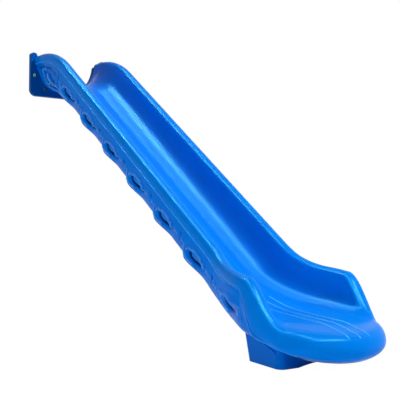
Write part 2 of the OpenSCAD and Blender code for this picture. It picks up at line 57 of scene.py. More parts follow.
# The upper skin is the sheet that a child slides on: the bed, the two side walls, the round rails
# and the wide lip at the exit. It is blue polyethylene, moulded in one piece on a polished tool.
# It stands for the CAD skin of the same size, with a smooth section every few millimetres.
# Sizes are in millimetres: u runs level from the flange to the lip, z up from the rail at the deck.
MM = 0.001
SLOPE, RAIL_EXIT_SLOPE, BED_EXIT_SLOPE = radians(35.8), radians(9.2), radians(4.5)
FLANGE_T, DECK_Z = 28.0, 188.0
START_RUN = 52.0
RAIL_R, LIP_R = 33.0, 38.0
RAIL_TOP_R, RAIL_RUN, RAIL_EXIT_R, HUMP_RUN = 600, 1960, 475, 117
RAIL_SPACING, LIP_WIDTH, FLARE = 450, 620, 375
LIP_REACH, LIP_SIDE, LIP_CORNER = 316, 104.3, 275
BED_DROP = 160.0
BED_TOP_R, BED_RUN, BED_EXIT_R = 440, 1905, 800
ROLL_R, ROLL_LEN = 720, 126.4
TROUGH_IN, TROUGH_ROUND, LIP_IN = 171, 26, 125
HOLLOW, LIP_HOLLOW, KEEL = 44.0, 145, 24
NOSE_OUT, NOSE_SAG, NOSE_DOWN = 71, 33, 46
SEAM_SIDE, SEAM_UP, SEAM_DOWN = 0.82, 52, 133


def mix(a, b, t):
    return a + (b - a) * t


def ease(t):
    t = min(1.0, max(0.0, t))
    return t * t * (3 - 2 * t)


rail_top = (START_RUN, 0.0)
rail_bend = (rail_top[0] + RAIL_TOP_R * sin(SLOPE), RAIL_TOP_R * (cos(SLOPE) - 1))
rail_foot = (rail_bend[0] + RAIL_RUN * cos(SLOPE), rail_bend[1] - RAIL_RUN * sin(SLOPE))
rail_out = (rail_foot[0] + RAIL_EXIT_R * (sin(SLOPE) - sin(RAIL_EXIT_SLOPE)),
            rail_foot[1] + RAIL_EXIT_R * (cos(SLOPE) - cos(RAIL_EXIT_SLOPE)))
hump_u = rail_out[0] + HUMP_RUN * cos(RAIL_EXIT_SLOPE)
hump_z = rail_out[1] - HUMP_RUN * sin(RAIL_EXIT_SLOPE)
front_u = hump_u + LIP_REACH
roll_u = front_u - ROLL_LEN
bed_top = (START_RUN, -BED_DROP)
bed_bend = (bed_top[0] + BED_TOP_R * sin(SLOPE), bed_top[1] + BED_TOP_R * (cos(SLOPE) - 1))
bed_foot = (bed_bend[0] + BED_RUN * cos(SLOPE), bed_bend[1] - BED_RUN * sin(SLOPE))
bed_out = (bed_foot[0] + BED_EXIT_R * (sin(SLOPE) - sin(BED_EXIT_SLOPE)),
           bed_foot[1] + BED_EXIT_R * (cos(SLOPE) - cos(BED_EXIT_SLOPE)))
run_bend = START_RUN + RAIL_TOP_R * SLOPE
run_foot = run_bend + RAIL_RUN
run_out = run_foot + RAIL_EXIT_R * (SLOPE - RAIL_EXIT_SLOPE)
rail_len = run_out + HUMP_RUN


def bed_z(u):
    """The bed's height at u, over its two bends and the roll at the lip."""
    if u < bed_top[0]:
        return -BED_DROP
    if u < bed_bend[0]:
        return bed_top[1] - BED_TOP_R + sqrt(BED_TOP_R ** 2 - (u - bed_top[0]) ** 2)
    if u < bed_foot[0]:
        return bed_bend[1] - (u - bed_bend[0]) * tan(SLOPE)
    if u < bed_out[0]:
        d = BED_EXIT_R * sin(SLOPE) - (u - bed_foot[0])
        return bed_foot[1] + BED_EXIT_R * cos(SLOPE) - sqrt(BED_EXIT_R ** 2 - d * d)
    d = max(0.0, u - roll_u)
    flat = bed_out[1] - (u - bed_out[0]) * tan(BED_EXIT_SLOPE)
    return flat - ROLL_R + sqrt(ROLL_R ** 2 - d * d)


def under_z(u):
    """The underside's height: an even hollow on the slope, a deeper one with a keel at the lip."""
    if u < bed_bend[0]:
        deep = mix(HOLLOW, HOLLOW / cos(SLOPE), ease(u / bed_bend[0]))
    else:
        to_lip = (u - rail_foot[0] + 40) / (front_u + 100 - rail_foot[0])
        deep = mix(HOLLOW / cos(SLOPE), LIP_HOLLOW, ease(to_lip))
        deep += KEEL * ease((u - front_u + 226) / 110.6)
    return bed_z(u) - deep


def side_station(run):
    """Rail centre x, u, z, pitch, run, share of the lip and inward direction, beside the bed."""
    if run < START_RUN:
        u, z, pitch = run, 0.0, 0.0
    elif run < run_bend:
        pitch = (run - START_RUN) / RAIL_TOP_R
        u, z = rail_top[0] + RAIL_TOP_R * sin(pitch), RAIL_TOP_R * (cos(pitch) - 1)
    elif run < run_foot:
        d, pitch = run - run_bend, SLOPE
        u, z = rail_bend[0] + d * cos(SLOPE), rail_bend[1] - d * sin(SLOPE)
    elif run < run_out:
        pitch = SLOPE - (run - run_foot) / RAIL_EXIT_R
        u = rail_foot[0] + RAIL_EXIT_R * (sin(SLOPE) - sin(pitch))
        z = rail_foot[1] + RAIL_EXIT_R * (cos(SLOPE) - cos(pitch))
    else:
        d = run - run_out
        pitch = RAIL_EXIT_SLOPE * (1 - d / HUMP_RUN)
        u, z = rail_out[0] + d * cos(RAIL_EXIT_SLOPE), rail_out[1] - d * sin(RAIL_EXIT_SLOPE)
    x = mix(RAIL_SPACING, LIP_WIDTH, ease((u - hump_u + FLARE) / FLARE)) / 2
    return (x, u, z, pitch, run, 0.0, -1.0, 0.0)


def lip_station(t):
    """The same eight values where the rail rounds the lip, from the hump, 0, to the middle, 1."""
    ps = [(LIP_WIDTH / 2, hump_u), (LIP_WIDTH / 2, hump_u + LIP_SIDE), (LIP_CORNER, front_u),
          (0, front_u)]
    w = ((1 - t) ** 3, 3 * (1 - t) ** 2 * t, 3 * (1 - t) * t * t, t ** 3)
    d = (3 * (1 - t) ** 2, 6 * (1 - t) * t, 3 * t * t)
    x, u = (sum(k * p[i] for k, p in zip(w, ps)) for i in (0, 1))
    dx, du = (sum(k * (q[i] - p[i]) for k, p, q in zip(d, ps, ps[1:])) for i in (0, 1))
    z = mix(hump_z, bed_z(u) - NOSE_DOWN, ease(t / 0.5))
    n = hypot(dx, du)
    return (x, u, z, 0.0, rail_len + t * LIP_REACH, t, -du / n, dx / n)


def place(s, a, b):
    """A point a inwards and b up from the rail's centre, on the slide's right half, in metres."""
    return ((s[0] + a * s[6]) * MM, -(FLANGE_T + s[1] + a * s[7] + b * sin(s[3])) * MM,
            (s[2] + b * cos(s[3]) + DECK_Z) * MM)


def level_b(s, a, height, b):
    """The b at which the point a inwards lies on the bed or the underside, from a first guess."""
    for _ in range(4):
        b = (height(s[1] + a * s[7] + b * sin(s[3])) - s[2]) / cos(s[3])
    return b


def bead_r(s):
    """The rail's radius, which grows towards the lip."""
    return mix(RAIL_R, LIP_R, ease((s[1] - hump_u + FLARE) / FLARE))


def seam_z(s):
    """The seam's height round the lip, from the humps down to the front."""
    low = bed_z(front_u) - SEAM_DOWN
    return mix(under_z(hump_u) + SEAM_UP, low, (s[1] - hump_u) / LIP_REACH)


def seam_drop(s):
    """How far the seam lies below the rail's centre."""
    return mix(SEAM_SIDE * bead_r(s), s[2] - seam_z(s), ease((s[4] - rail_len + 42) / 98))


def nose_out(s):
    """How far the round stands out from the rail's centre: the nose is the widest at the front."""
    return mix(bead_r(s), NOSE_OUT, s[5] ** 1.6)


def nose_sag(s):
    """How far the nose's widest line lies below the rail's centre."""
    return NOSE_SAG * ease(s[5] / 0.5)


def seam_turn(s):
    """The angle below that widest line at which the round ends in the seam."""
    return radians(mix(55, 75, ease(s[5] / 0.4)))


def seam_reach(s):
    """How far the seam lies out from the rail's centre: the round is fuller along the slope."""
    full = mix(0.64, 1, ease((s[4] - rail_len + 260) / 200))
    return nose_out(s) * cos(seam_turn(s) * full)


def nose_half(s):
    """The half height of the round's lower part, so that it ends in the seam."""
    return (seam_drop(s) - nose_sag(s)) / sin(seam_turn(s))


def crown(s, turn):
    """A point of the rail's round at an angle from its outer side, and the way along it."""
    reach = rise = bead_r(s)
    sag = 0.0
    if turn <= pi / 2:
        sag = nose_sag(s)
        reach, rise = nose_out(s), rise + sag
    way_a, way_b = reach * sin(turn), rise * cos(turn)
    n = hypot(way_a, way_b)
    return -reach * cos(turn), rise * sin(turn) - sag, way_a / n, way_b / n


def chute_point(s, v):
    """A point of the section: bed to v = 1, wall to 2, over the rail to 4, down to the seam, 5."""
    # The fillet between bed and wall is rounder on the slope. The wall leaves the rail's round at
    # its inner side where the bed lies deep, and near its top where the lip's floor comes up.
    r = bead_r(s)
    rounder = ease(s[4] / 150) * (1 - ease((s[4] - rail_len + 420) / 480))
    bed_a = mix(TROUGH_IN + TROUGH_ROUND * rounder, LIP_IN, ease((s[4] - rail_len + 60) / 260))
    bed_b = level_b(s, bed_a, bed_z, -BED_DROP)
    share = ease((r - bed_b) / 110)
    lean = radians(mix(98, 172, share) - 20 * ease((bed_b - r) / 40))
    if v < 1:
        x, y, z = place(s, bed_a, bed_b)
        return (x * v, y, z)
    if v < 2:
        t = v - 1
        a0, b0, way_a, way_b = crown(s, lean)
        p0, p3 = (a0, b0), (bed_a, bed_b)
        side = p3[0] - p0[0]
        rise = mix(0.53, 0.41, rounder) * (p0[1] - p3[1]) + 0.35 * side * (1 - share)
        p1 = (p0[0] + way_a * rise, p0[1] + way_b * rise)
        p2 = (p3[0] - mix(0.35, 0.65 - 0.15 * rounder, share) * side, p3[1])
        w = ((1 - t) ** 3, 3 * (1 - t) ** 2 * t, 3 * (1 - t) * t * t, t ** 3)
        a, b = (sum(k * p[i] for k, p in zip(w, (p3, p2, p1, p0))) for i in (0, 1))
    elif v < 4:
        top = min(pi / 2, lean - 0.14)
        a, b = crown(s, mix(lean, top, v - 2) if v < 3 else top * (4 - v))[:2]
    else:
        down = v - 4
        turn = seam_turn(s) * down
        full = nose_out(s) - (nose_out(s) - seam_reach(s)) * down * down
        a = -mix(nose_out(s) * cos(turn), full, 1 - s[5])
        b = -nose_sag(s) - nose_half(s) * sin(turn)
    return place(s, a, b)


def spread(*stretches):
    """Values along several stretches, each (first, last, steps), with the joints given once."""
    out = [stretches[0][0]]
    for first, last, steps in stretches:
        out += [mix(first, last, (i + 1) / steps) for i in range(steps)]
    return out


def piece_from(bm, name):
    """A new smooth object with the bmesh's shape, at the origin."""
    mesh = bpy.data.meshes.new(name)
    bm.to_mesh(mesh)
    bm.free()
    for face in mesh.polygons:
        face.use_smooth = True
    piece = bpy.data.objects.new(name, mesh)
    bpy.context.scene.collection.objects.link(piece)
    return piece


def sheet_mesh(name, rows, columns, point, depth=None):
    """A grid whose points are moved to point(row, column), mirrored to both halves."""
    bm = bmesh.new()
    # The optional layer holds each point's painted light: painted shade deep in the carving,
    # painted highlight on its raised lines.
    painted_light = bm.verts.layers.float.new("painted_light")
    bmesh.ops.create_grid(bm, x_segments=len(columns) - 1, y_segments=len(rows) - 1, size=1.0)
    for v in bm.verts:
        i = round((v.co.y + 1) / 2 * (len(rows) - 1))
        j = round((v.co.x + 1) / 2 * (len(columns) - 1))
        v.co = point(rows[i], columns[j])
        v[painted_light] = depth(rows[i], columns[j]) if depth else 0.0
    bmesh.ops.mirror(bm, geom=bm.verts[:] + bm.edges[:] + bm.faces[:], axis="X", merge_dist=0.00002)
    bmesh.ops.remove_doubles(bm, verts=bm.verts, dist=0.00002)
    bmesh.ops.recalc_face_normals(bm, faces=bm.faces)
    return piece_from(bm, name)


def face_outwards(piece, toward):
    """Turns a sheet's faces so that the one nearest the point toward looks at it."""
    mesh = piece.data
    best = min(mesh.polygons, key=lambda f: sum((a - b) ** 2 for a, b in zip(f.center, toward)))
    if sum((t - c) * n for t, c, n in zip(toward, best.center, best.normal)) < 0:
        bm = bmesh.new()
        bm.from_mesh(mesh)
        bmesh.ops.reverse_faces(bm, faces=bm.faces)
        bm.to_mesh(mesh)
        bm.free()


def solid_wall(piece, thickness):
    """Gives a sheet its wall, on the side that doesn't show."""
    wall = piece.modifiers.new("wall", "SOLIDIFY")
    wall.thickness = thickness
    wall.offset = -1.0
    wall.use_rim = True


stations = [side_station(run) for run in spread(
    (0, START_RUN, 5), (START_RUN, run_bend, 34), (run_bend, run_foot, 50),
    (run_foot, run_out, 34), (run_out, rail_len, 14))]
stations += [lip_station(t) for t in spread((0, 1, 96))[1:]]
chute_columns = spread((0, 1, 7), (1, 2, 28), (2, 3, 15), (3, 4, 10), (4, 5, 8))
chute_sheet = sheet_mesh("chute_sheet", stations, chute_columns, chute_point)
face_outwards(chute_sheet, (0, -1.5, 0.3))
solid_wall(chute_sheet, 0.006)


def moulded(name, deep, light, rough, navy=None):
    """Glossy moulded polyethylene: a slightly cloudy colour, fine orange peel, worn patches in the
    gloss.
    Given navy, the carving gets navy painted shade deep down and a paler painted highlight on its
    raised lines.
    """
    # A paler blue, painted highlight on the carving's raised lines.
    ridge_highlight = (0.12, 0.36, 0.95)
    mat = bpy.data.materials.new(name)
    mat.use_nodes = True
    nodes, links = mat.node_tree.nodes, mat.node_tree.links
    shader = nodes["Principled BSDF"]
    coord = nodes.new("ShaderNodeTexCoord")
    cloud = nodes.new("ShaderNodeTexNoise")
    cloud.inputs["Scale"].default_value = 3.0
    cloud.inputs["Detail"].default_value = 4.0
    tint = nodes.new("ShaderNodeValToRGB")
    tint.color_ramp.elements[0].position = 0.35
    tint.color_ramp.elements[0].color = (*deep, 1)
    tint.color_ramp.elements[1].position = 0.65
    tint.color_ramp.elements[1].color = (*light, 1)
    links.new(coord.outputs["Object"], cloud.inputs["Vector"])
    links.new(cloud.outputs["Fac"], tint.inputs["Fac"])
    colour = tint.outputs["Color"]
    # Painted light from the carving: navy painted shade deep in it, a paler painted highlight on
    # its raised lines.
    if navy:
        painted_light = nodes.new("ShaderNodeAttribute")
        painted_light.attribute_name = "painted_light"
        for sign, end in ((1, navy), (-1, ridge_highlight)):
            share = nodes.new("ShaderNodeMath")
            share.operation = "MULTIPLY"
            share.use_clamp = True
            share.inputs[1].default_value = sign
            shade = nodes.new("ShaderNodeMix")
            shade.data_type = "RGBA"
            shade.inputs["B"].default_value = (*end, 1)
            links.new(painted_light.outputs["Fac"], share.inputs[0])
            links.new(share.outputs[0], shade.inputs["Factor"])
            links.new(colour, shade.inputs["A"])
            colour = shade.outputs["Result"]
    links.new(colour, shader.inputs["Base Color"])
    rub = nodes.new("ShaderNodeTexNoise")
    rub.inputs["Scale"].default_value = 18.0
    rub.inputs["Detail"].default_value = 6.0
    sheen = nodes.new("ShaderNodeMapRange")
    sheen.inputs["To Min"].default_value = rough - 0.015
    sheen.inputs["To Max"].default_value = rough + 0.02
    links.new(coord.outputs["Object"], rub.inputs["Vector"])
    links.new(rub.outputs["Fac"], sheen.inputs["Value"])
    links.new(sheen.outputs["Result"], shader.inputs["Roughness"])
    peel = nodes.new("ShaderNodeTexNoise")
    peel.inputs["Scale"].default_value = 150.0
    peel.inputs["Detail"].default_value = 2.0
    bumps = nodes.new("ShaderNodeBump")
    bumps.inputs["Strength"].default_value = 0.015
    bumps.inputs["Distance"].default_value = 0.001
    links.new(coord.outputs["Object"], peel.inputs["Vector"])
    links.new(peel.outputs["Fac"], bumps.inputs["Height"])
    links.new(bumps.outputs["Normal"], shader.inputs["Normal"])
    shader.inputs["IOR"].default_value = 1.09
    shader.inputs["Specular Tint"].default_value = (0.35, 0.8, 1.0, 1)
    return mat


chute_blue = moulded("chute_blue", (0.0, 0.2, 0.77), (0.0, 0.21, 0.8), 0.19)
chute_sheet.data.materials.append(chute_blue)
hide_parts("chute_skin")
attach(chute_sheet, "root")

# The lower skin closes the moulding from below. Its outer sides carry a smooth band under the seam
# and a row of scroll waves, and near the deck the band rolls in to a volute. The waves are a
# traditional running scroll, cut deep into the tool, and the sheet follows them.
SIDE_DEEP, BAND_H = BED_DROP + HOLLOW - SEAM_SIDE * RAIL_R, 62
BAND = BAND_H / SIDE_DEEP
WAVE_START, WAVE_PITCH, WAVE_DEPTH, WAVES = 475.0, 338.0, 26.0, 7


def panel(t):
    """The share of the side's depth at t of the way down the panel below the band."""
    return mix(BAND + 0.03, 1, t)


# Twelve corners of the side's section, as shares of its depth and millimetres inwards from the
# seam, on the slope, in the curl beside the deck and at the lip, and how far each joins the waves.
slope_shares = [0, 0.012, BAND * 0.55, BAND - 0.005, panel(0), panel(0.09), panel(0.32),
                panel(0.55), panel(0.78), panel(0.935), panel(0.992), 1]
slope_in = [-7, -10.5, -10, -8, 1, 3, 5, 11, 23, 46, 76, 110]
curl_shares = [0, 0.012, 0.12, 0.24, 0.36, 0.48, 0.6, 0.7, 0.78, 0.88, 0.96, 1]
curl_in = [1, -6, 0, 11, 21, 33, 43, 54, 65, 91, 124, 150]
lip_shares = [0, 0.012, 0.19, 0.345, 0.38, 0.435, 0.58, 0.72, 0.865, 0.96, 0.995, 1]
lip_in = [1, -3, 6, 14, 18, 22, 34, 48, 66, 84, 98, 110]
hollow_share = [0, 0, 0, 0, 0.25, 0.6, 0.9, 1, 1, 0.8, 0.4, 0]
LAST_CORNER = len(slope_in) - 1


def corners_at(s, on_slope, in_curl, at_lip):
    """The corners at a station, between those on the slope, in the curl and at the lip."""
    to_lip, to_curl = ease((s[4] - rail_len + 130) / 190), ease(1 - s[4] / 190)
    return [mix(mix(p, q, to_curl), r, to_lip) for p, q, r in zip(on_slope, in_curl, at_lip)]


def wave(run):
    """How far a wave draws the side in, from 0 to 1. The last one stays drawn in up to the lip."""
    w = (run - WAVE_START) / WAVE_PITCH
    if w < 0:
        return 0.0
    ph = w % 1 + (1 if w > 6 else 0)
    deep = ease(min(ph, 0.42) / 0.42) if ph < 0.8 or w > 5.8 else 1 - ease((ph - 0.8) / 0.2)
    return deep * ease((rail_len - 20 - run) / 120)


def under_line(s):
    """The section from the seam to the underside, as matching lists of a and b."""
    seam_a, seam_b = -nose_out(s) * cos(seam_turn(s)), -seam_drop(s) - 0.3
    low = level_b(s, 110, under_z, -BED_DROP - HOLLOW)
    d = wave(s[4]) * WAVE_DEPTH
    shares = corners_at(s, slope_shares, curl_shares, lip_shares)
    inner = corners_at(s, slope_in, curl_in, lip_in)
    line_a = [seam_a + (p + h * d) for p, h in zip(inner, hollow_share)]
    line_b = [mix(seam_b, low, f) + h * d * 0.45 * (1 - f) for f, h in zip(shares, hollow_share)]
    return line_a, line_b


def smooth_line(xs, t):
    """A smooth curve through the listed values, at the place t along the list."""
    i = min(len(xs) - 2, max(0, int(t)))
    p = [xs[max(0, i - 1)], xs[i], xs[i + 1], xs[min(len(xs) - 1, i + 2)]]
    t -= i
    return 0.5 * (2 * p[1] + (p[2] - p[0]) * t + (2 * p[0] - 5 * p[1] + 4 * p[2] - p[3]) * t * t
                  + (3 * p[1] - p[0] - 3 * p[2] + p[3]) * t ** 3)


# Lines of the scroll on the unrolled side: run past the wave's start in millimetres and share of
# the depth, then height and half width in millimetres. The volute's lines count from the deck.
scroll_lines = [
    ([(-66, 0.22), (-56, 0.38), (-46, 0.55), (-18, 0.71), (10, 0.83), (40, 0.87)], -9, 6),
    ([(-34, 0.36), (-24, 0.52), (0, 0.66), (26, 0.74), (60, 0.74)], 8, 10),
    ([(33, 0.40), (36, 0.50), (50, 0.585), (80, 0.63), (120, 0.615), (146, 0.575)], -24, 9),
    ([(52, 0.41), (56, 0.50), (80, 0.56), (112, 0.55)], 3, 4),
    ([(10, 0.46), (22, 0.37), (47, 0.30), (84, 0.255), (138, 0.262), (176, 0.315), (192, 0.41),
      (194, 0.50)], 9, 8),
    ([(8, 0.33), (40, 0.235), (86, 0.195), (140, 0.20), (186, 0.255)], -5, 6),
    ([(66, 0.36), (96, 0.315), (132, 0.325), (160, 0.38)], -8, 6),
    ([(84, 0.42), (112, 0.385), (140, 0.41), (160, 0.47)], 7, 8),
    ([(98, 0.475), (124, 0.465), (150, 0.50)], -8, 5),
    ([(212, 0.40), (222, 0.47), (240, 0.55), (262, 0.60)], -11, 7),
    ([(236, 0.42), (252, 0.50), (274, 0.56)], 5, 8),
]
volute_lines = [
    ([(0, 0.08), (90, 0.08), (200, 0.10), (290, 0.16)], -5, 5),
    ([(30, 0.165), (160, 0.19), (250, 0.195), (330, 0.25), (380, 0.36), (392, 0.5),
      (380, 0.62)], -8, 6),
    ([(190, 0.27), (150, 0.24), (112, 0.33), (94, 0.46), (104, 0.60), (140, 0.74), (200, 0.86),
      (300, 0.9)], 8, 8),
    ([(148, 0.33), (134, 0.44), (138, 0.58), (165, 0.72), (215, 0.80), (300, 0.82),
      (380, 0.78)], -20, 9),
    ([(200, 0.42), (216, 0.57), (256, 0.69), (320, 0.745), (385, 0.69)], 10, 10),
    ([(215, 0.38), (240, 0.50), (285, 0.60), (340, 0.64)], -9, 7),
]


def distance_to(px, py, line):
    """The distance of the points from a polyline, all in millimetres."""
    best = np.full(px.shape, 1e9)
    for (ax, ay), (bx, by) in zip(line, line[1:]):
        dx, dy = bx - ax, by - ay
        t = np.clip(((px - ax) * dx + (py - ay) * dy) / (dx * dx + dy * dy), 0, 1)
        best = np.minimum(best, np.hypot(px - ax - t * dx, py - ay - t * dy))
    return best


def carved(px, py, lines, first):
    """What the lines add to the plain side, in millimetres, where they start at the run first."""
    height = np.zeros(px.shape)
    for line, tall, half in lines:
        d = distance_to(px, py, [(first + p, f * SIDE_DEEP) for p, f in line])
        height += tall * np.exp(-(d / half) ** 2)
    return height


def relief(run, shares):
    """Height of the carving over the plain side, in millimetres."""
    px, py = np.full(len(shares), run), np.array(shares) * SIDE_DEEP
    fade = np.clip((rail_len - 60 - px) / 120, 0, 1)
    waves = sum(carved(px, py, scroll_lines, WAVE_START + k * WAVE_PITCH) for k in range(WAVES))
    return waves * fade + carved(px, py, volute_lines, 0)


under_rows = [side_station(run) for run in spread(
    (0, 450, 110), (450, run_foot, 400), (run_foot, rail_len, 60))]
under_rows += [lip_station(t) for t in spread((0, 1, 60))[1:]]
under_columns = spread((0, 1, 5), (1, 3, 6), (3, 4, 4), (4, 8, 34), (8, 10, 10), (10, 11, 3),
                       (11, 12, 3))
under_lines = {s: under_line(s) for s in under_rows}
carving = {}
for s in under_rows:
    shares = corners_at(s, slope_shares, curl_shares, lip_shares)
    at = [smooth_line(shares, min(t, LAST_CORNER)) for t in under_columns]
    tall = relief(s[4], at) if s[4] < rail_len else np.zeros(len(at))
    carving[s] = dict(zip(under_columns, tall))


def under_point(s, t):
    """A point of the carved side at t along the corners, and past the last one in to the middle."""
    line_a, line_b = under_lines[s]
    if t > LAST_CORNER:
        x, y, z = place(s, line_a[LAST_CORNER], line_b[LAST_CORNER])
        return (x * (LAST_CORNER + 1 - t), y, z)
    a, b = smooth_line(line_a, t), smooth_line(line_b, t)
    h = carving[s][t]
    if abs(h) > 0.01:
        before, after = max(0, t - 0.05), min(LAST_CORNER, t + 0.05)
        way_a = smooth_line(line_a, after) - smooth_line(line_a, before)
        way_b = smooth_line(line_b, after) - smooth_line(line_b, before)
        n = hypot(way_a, way_b) or 1.0
        a, b = a + h * way_b / n, b - h * way_a / n
    return place(s, a, b)


def painted_light_share(s, t):
    """How far the colour goes to navy painted shade deep in the carving, or below zero to the paler
    painted highlight on its raised lines.
    """
    return ease((-carving[s][t] - 2) / 9) - 0.9 * ease((carving[s][t] - 2) / 6)


# The side's colour carries painted shade in the carving's recesses and painted highlight on its
# raised lines.
under_sheet = sheet_mesh("under_sheet", under_rows, under_columns, under_point, painted_light_share)
face_outwards(under_sheet, (0, -1.5, -1.6))
under_blue = moulded("under_blue", (0.0, 0.185, 0.79), (0.0, 0.20, 0.84), 0.19,
                     navy=(0.0, 0.02, 0.13))
under_sheet.data.materials.append(under_blue)
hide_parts("under_skin")
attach(under_sheet, "root")

# The parting line: the two halves of the tool leave a thin raised bead of the same plastic along
# the seam, where the rail meets the side. Its paler colour is a painted highlight, which keeps it
# bright under the rail.
SEAM_R = 3.8
# A paler blue, painted highlight that keeps the seam bead a bright line.
seam_highlight_blue = moulded("seam_highlight_blue", (0.01, 0.34, 0.98), (0.03, 0.40, 1.0), 0.2)


def bead_point(s, v):
    """A point round the bead, which thins out at the deck."""
    swing, size = 2 * pi * v, SEAM_R * ease((s[4] + 10) / 40)
    return place(s, -seam_reach(s) - 2 + size * cos(swing), -seam_drop(s) + 0.5 + size * sin(swing))


seam_bead = sheet_mesh("seam_bead", stations[:-40], spread((0, 1, 8)), bead_point)
face_outwards(seam_bead, (-2, -1.5, 0.3))
seam_bead.data.materials.append(seam_highlight_blue)
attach(seam_bead, "root")

# The end wall and the fourteen posts inside the hollow moulding are of the same polyethylene. The
# wall closes the hollow at the deck end, and the posts keep the bed and the underside apart.
hidden_blue = moulded("hidden_blue", (0.0, 0.19, 0.84), (0.0, 0.21, 0.9), 0.35)


def finish_in(material, *names):
    """Gives carried-over nodes their material."""
    for name in names:
        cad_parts[name].data.materials.clear()
        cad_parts[name].data.materials.append(material)


finish_in(hidden_blue, "end_wall", "spacer_posts")

# Three low ribs run down the lip's floor and over its front. They are moulded with the upper skin,
# stiffen it and let water drain, and are coloured paler than the floor, a painted highlight.
RIB_H, RIB_W, RIB_PITCH, RIB_SUNK, RIB_STEPS = 3.0, 6.0, 62.0, 0.6, 110
rib_first = bed_foot[0] + 170
skin_tree = BVHTree.FromObject(chute_sheet, bpy.context.evaluated_depsgraph_get())


def rib_rows(x, last_u):
    """Points of the floor along a rib, with the share of its full height."""
    rows = []
    for i in range(RIB_STEPS + 1):
        e = i / RIB_STEPS
        u = mix(rib_first, last_u, e)
        hit = skin_tree.ray_cast(Vector((x * MM, -(FLANGE_T + u) * MM, -0.9)), Vector((0, 0, -1)))
        rows.append((x, u, hit[0].z / MM, min(1, 10 * e, 14 * (1 - e))))
    return rows


rib_mesh = bmesh.new()
for x in (-RIB_PITCH, 0.0, RIB_PITCH):
    rows = rib_rows(x, front_u + (44 if x else 52))
    made = bmesh.ops.create_grid(rib_mesh, x_segments=6, y_segments=RIB_STEPS, size=1.0)
    for v in made["verts"]:
        rib_x, rib_u, rib_z, full = rows[round((v.co.y + 1) * RIB_STEPS / 2)]
        turn = pi * (v.co.x + 1) / 2
        v.co = ((rib_x - RIB_W / 2 * cos(turn)) * MM, -(FLANGE_T + rib_u) * MM,
                (rib_z - RIB_SUNK + (RIB_H * full + RIB_SUNK) * sin(turn)) * MM)
bmesh.ops.recalc_face_normals(rib_mesh, faces=rib_mesh.faces)
floor_ribs = piece_from(rib_mesh, "floor_ribs")
face_outwards(floor_ribs, (0, -2.4, 0.5))
# A paler blue, painted highlight along the ribs.
rib_highlight_blue = moulded("rib_highlight_blue", (0.07, 0.46, 0.98), (0.11, 0.52, 1.0), 0.2)
floor_ribs.data.materials.append(rib_highlight_blue)
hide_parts("exit_ribs")
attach(floor_ribs, "root")

# The deck flange is a thick moulded ring that closes the deck end and bolts to the deck. Plated
# sleeves line its four bolt holes, so the bolts don't crush the plastic.
# A much darker copy of the slide's blue, painted shade for the shadow the slide casts on the
# flange.
flange_shaded_blue = moulded("flange_shaded_blue", (0.0, 0.08, 0.34), (0.0, 0.09, 0.38), 0.2)
finish_in(flange_shaded_blue, "deck_flange")


def plated(name, pale, dull, rough):
    """Plated metal: slightly mottled, with fine turning marks."""
    mat = bpy.data.materials.new(name)
    mat.use_nodes = True
    nodes, links = mat.node_tree.nodes, mat.node_tree.links
    shader = nodes["Principled BSDF"]
    shader.inputs["Metallic"].default_value = 1.0
    coord = nodes.new("ShaderNodeTexCoord")
    spots = nodes.new("ShaderNodeTexNoise")
    spots.inputs["Scale"].default_value = 140.0
    tint = nodes.new("ShaderNodeValToRGB")
    tint.color_ramp.elements[0].color = (*dull, 1)
    tint.color_ramp.elements[1].color = (*pale, 1)
    sheen = nodes.new("ShaderNodeMapRange")
    sheen.inputs["To Min"].default_value = rough - 0.06
    sheen.inputs["To Max"].default_value = rough + 0.1
    marks = nodes.new("ShaderNodeTexNoise")
    marks.inputs["Scale"].default_value = 900.0
    turned = nodes.new("ShaderNodeBump")
    turned.inputs["Strength"].default_value = 0.15
    turned.inputs["Distance"].default_value = 0.0004
    for noise in (spots, marks):
        links.new(coord.outputs["Object"], noise.inputs["Vector"])
    links.new(spots.outputs["Fac"], tint.inputs["Fac"])
    links.new(tint.outputs["Color"], shader.inputs["Base Color"])
    links.new(spots.outputs["Fac"], sheen.inputs["Value"])
    links.new(sheen.outputs["Result"], shader.inputs["Roughness"])
    links.new(marks.outputs["Fac"], turned.inputs["Height"])
    links.new(turned.outputs["Normal"], shader.inputs["Normal"])
    return mat


# Its colour is far darker than bare metal of this kind, painted shade that keeps the sleeves dim in
# their holes.
brass = plated("brass", (0.16, 0.11, 0.055), (0.09, 0.065, 0.035), 0.5)
finish_in(brass, "flange_sleeves")

# Brass inserts are moulded into the end wall and into the underside, and zinc plated screws with
# washers go into them: six through the flange from the deck side, four up through the foot.
zinc = plated("zinc", (0.78, 0.79, 0.8), (0.55, 0.56, 0.58), 0.28)
finish_in(brass, "flange_inserts", "foot_inserts")
finish_in(zinc, "flange_screws", "flange_washers", "foot_screws", "foot_washers")

# The exit foot is a hollow moulded block that carries the lip on the ground, open below, with its
# front edge arched. Its rim turns up around the flanks of the moulding, which hides the joint.
FOOT_REAR_W, FOOT_FRONT_W, FOOT_BACK = 454, 536, 150.6
FOOT_LEN, FOOT_LEAN, FOOT_R, FOOT_FLANK = 243.0, 46.0, 30.0, 258
RIM_DOWN, RIM_H = 16, 70
